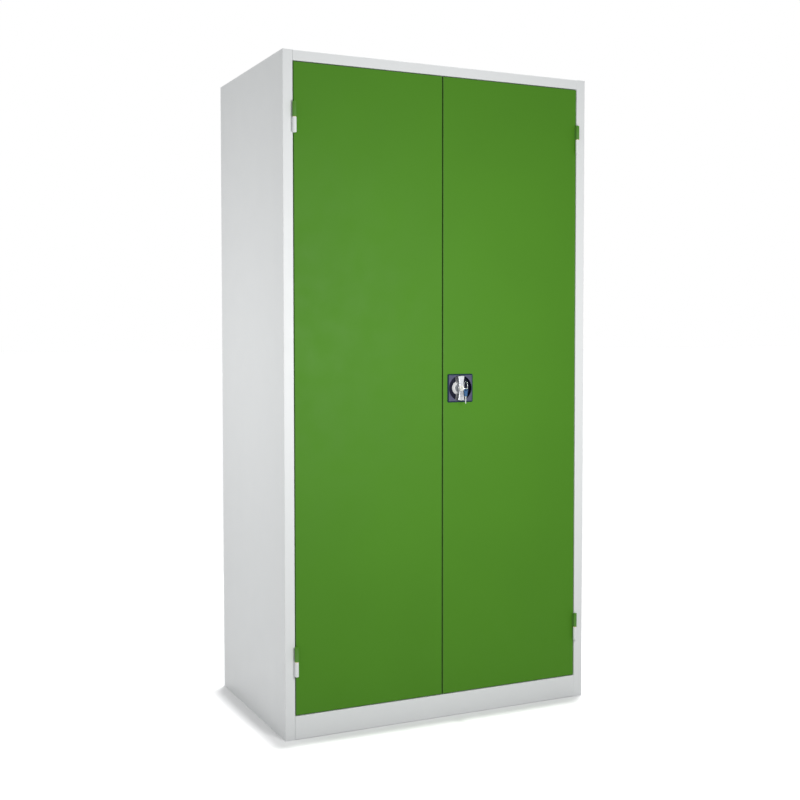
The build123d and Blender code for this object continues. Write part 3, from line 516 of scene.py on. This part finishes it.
def key_head():
    """The second key's head with its ring hole, narrower where the blade comes out of it."""
    low, high = box_of("spare_key_head")
    outline = head_outline(low, high)
    hole = Vector(((low.x + high.x) / 2, high.z - RING_HOLE_DROP))
    rim = [hole + (spot - hole).normalized() * RING_HOLE_RADIUS for spot in outline]
    shape = bmesh.new()
    front, front_rim, back, back_rim = (
        [shape.verts.new((spot.x, depth, spot.y)) for spot in spots]
        for depth, spots in ((low.y, outline), (low.y, rim), (high.y, outline), (high.y, rim))
    )
    count = len(outline)
    for here in range(count):
        after = (here + 1) % count
        for one, other in (
            (front, front_rim), (front_rim, back_rim), (back_rim, back), (back, front)
        ):
            shape.faces.new((one[here], one[after], other[after], other[here]))
    soften(finished("spare_head", shape, "spare_key", "spare_key_head"), 0.0006)


split_ring()
cut_blade()
key_head()

# ---------------------------------------------------------------- floor and background

PAPER = ((0.83, 0.83, 0.83), (0.84, 0.84, 0.84))
DIM_PAPER = (0.31, 0.31, 0.31)


def looked_at(tree):
    """One for what the camera sees, straight, mirrored or through something clear."""
    ray = tree.nodes.new("ShaderNodeLightPath").outputs
    straight_or_mirrored = calculated(tree, "MAXIMUM", ray["Is Camera Ray"], ray["Is Glossy Ray"])
    return calculated(tree, "MAXIMUM", straight_or_mirrored, ray["Is Transmission Ray"])


def floor():
    """A wide pale floor: paper white where it is seen, dimmer for the light it throws back."""
    mesh = bpy.data.meshes.new("floor")
    shape = bmesh.new()
    bmesh.ops.create_grid(shape, x_segments=1, y_segments=1, size=60.0)
    shape.to_mesh(mesh)
    shape.free()
    ground = bpy.data.objects.new("floor", mesh)
    scene.collection.objects.link(ground)
    material, tree, shader = new_material("floor_paper")
    tone = ranged(tree, noise(tree, object_coords(tree), 0.8), 0.0, 1.0)
    paper = mixed(tree, tone, *PAPER)
    shown = mixed(tree, looked_at(tree), DIM_PAPER, paper)
    tree.links.new(shown, shader.inputs["Base Color"])
    shader.inputs["Roughness"].default_value = 0.9
    shader.inputs["Specular IOR Level"].default_value = 0.1
    mesh.materials.append(material)


def studio_world():
    """White where it is seen, and a dimmer even glow on the object."""
    world = bpy.data.worlds.new("studio")
    scene.world = world
    world.use_nodes = True
    tree = world.node_tree
    tree.nodes.clear()
    backgrounds = []
    for colour, strength in (((0.97, 0.985, 1, 1), 0.47), ((1, 1, 1, 1), 1.0)):
        background = tree.nodes.new("ShaderNodeBackground")
        background.inputs["Color"].default_value = colour
        background.inputs["Strength"].default_value = strength
        backgrounds.append(background.outputs["Background"])
    glow, seen = backgrounds
    mix = tree.nodes.new("ShaderNodeMixShader")
    tree.links.new(looked_at(tree), mix.inputs["Fac"])
    tree.links.new(glow, mix.inputs[1])
    tree.links.new(seen, mix.inputs[2])
    out = tree.nodes.new("ShaderNodeOutputWorld")
    tree.links.new(mix.outputs["Shader"], out.inputs["Surface"])


floor()
studio_world()

# ---------------------------------------------------------------- lamps


def turned_along(direction):
    """The rotation of a lamp that shines along a direction."""
    return Vector(direction).to_track_quat("-Z", "Y").to_euler()


def area_light(name, place, target, size, power):
    """A soft rectangular light that faces its target."""
    data = bpy.data.lights.new(name, "AREA")
    data.shape = "RECTANGLE"
    data.size, data.size_y = size
    data.energy = power
    lamp = bpy.data.objects.new(name, data)
    scene.collection.objects.link(lamp)
    lamp.location = place
    lamp.rotation_euler = turned_along(Vector(target) - Vector(place))
    lamp.visible_camera = False


def high_lamp(direction, strength, angle):
    """A lamp far above, which leaves a narrow soft shadow along the foot."""
    data = bpy.data.lights.new("high_lamp", "SUN")
    data.energy = strength
    data.angle = angle
    lamp = bpy.data.objects.new("high_lamp", data)
    scene.collection.objects.link(lamp)
    lamp.rotation_euler = turned_along(direction)


area_light("key", (-0.06, -1.88, 1.18), (-0.05, -0.3, 1.13), (0.5, 0.6), 19.8)
area_light("side", (-1.75, 0.05, 1.15), (-0.5, 0.0, 1.12), (0.9, 0.45), 7.5)
area_light("low_side", (-1.50, 0.0, 0.12), (-0.5, 0.0, 0.10), (1.0, 0.12), 0.6)
area_light("far_side", (1.75, 0.10, 1.15), (0.5, 0.0, 1.12), (0.9, 0.45), 7.5)
area_light("back", (0.1, 2.1, 1.15), (0.0, 0.3, 1.10), (1.3, 0.6), 14.0)
high_lamp((-0.026, -0.028, -1.0), 2.35, 0.029)

# ---------------------------------------------------------------- camera

# fitted to the photograph, in its pixels: focal length and where the lens axis meets the picture
PHOTO_SIZE = 800
FOCAL_LENGTH = 1197.64
AXIS_ACROSS = 419.77
AXIS_DOWN = 379.79
TILT_DOWN = 2.362
TURN_RIGHT = 25.868
SENSOR_WIDTH = 36.0

camera_data = bpy.data.cameras.new("camera")
camera_data.sensor_width = SENSOR_WIDTH
camera_data.lens = FOCAL_LENGTH / PHOTO_SIZE * SENSOR_WIDTH
camera_data.shift_x = -(AXIS_ACROSS - PHOTO_SIZE / 2) / PHOTO_SIZE
camera_data.shift_y = (AXIS_DOWN - PHOTO_SIZE / 2) / PHOTO_SIZE
camera_data.clip_end = 200.0
camera = bpy.data.objects.new("camera", camera_data)
scene.collection.objects.link(camera)
camera.location = (-1.6220, -3.4883, 1.1679)
camera.rotation_euler = Euler((math.radians(90 - TILT_DOWN), 0.0, math.radians(-TURN_RIGHT)))
scene.camera = camera
scene.view_settings.view_transform = "Standard"
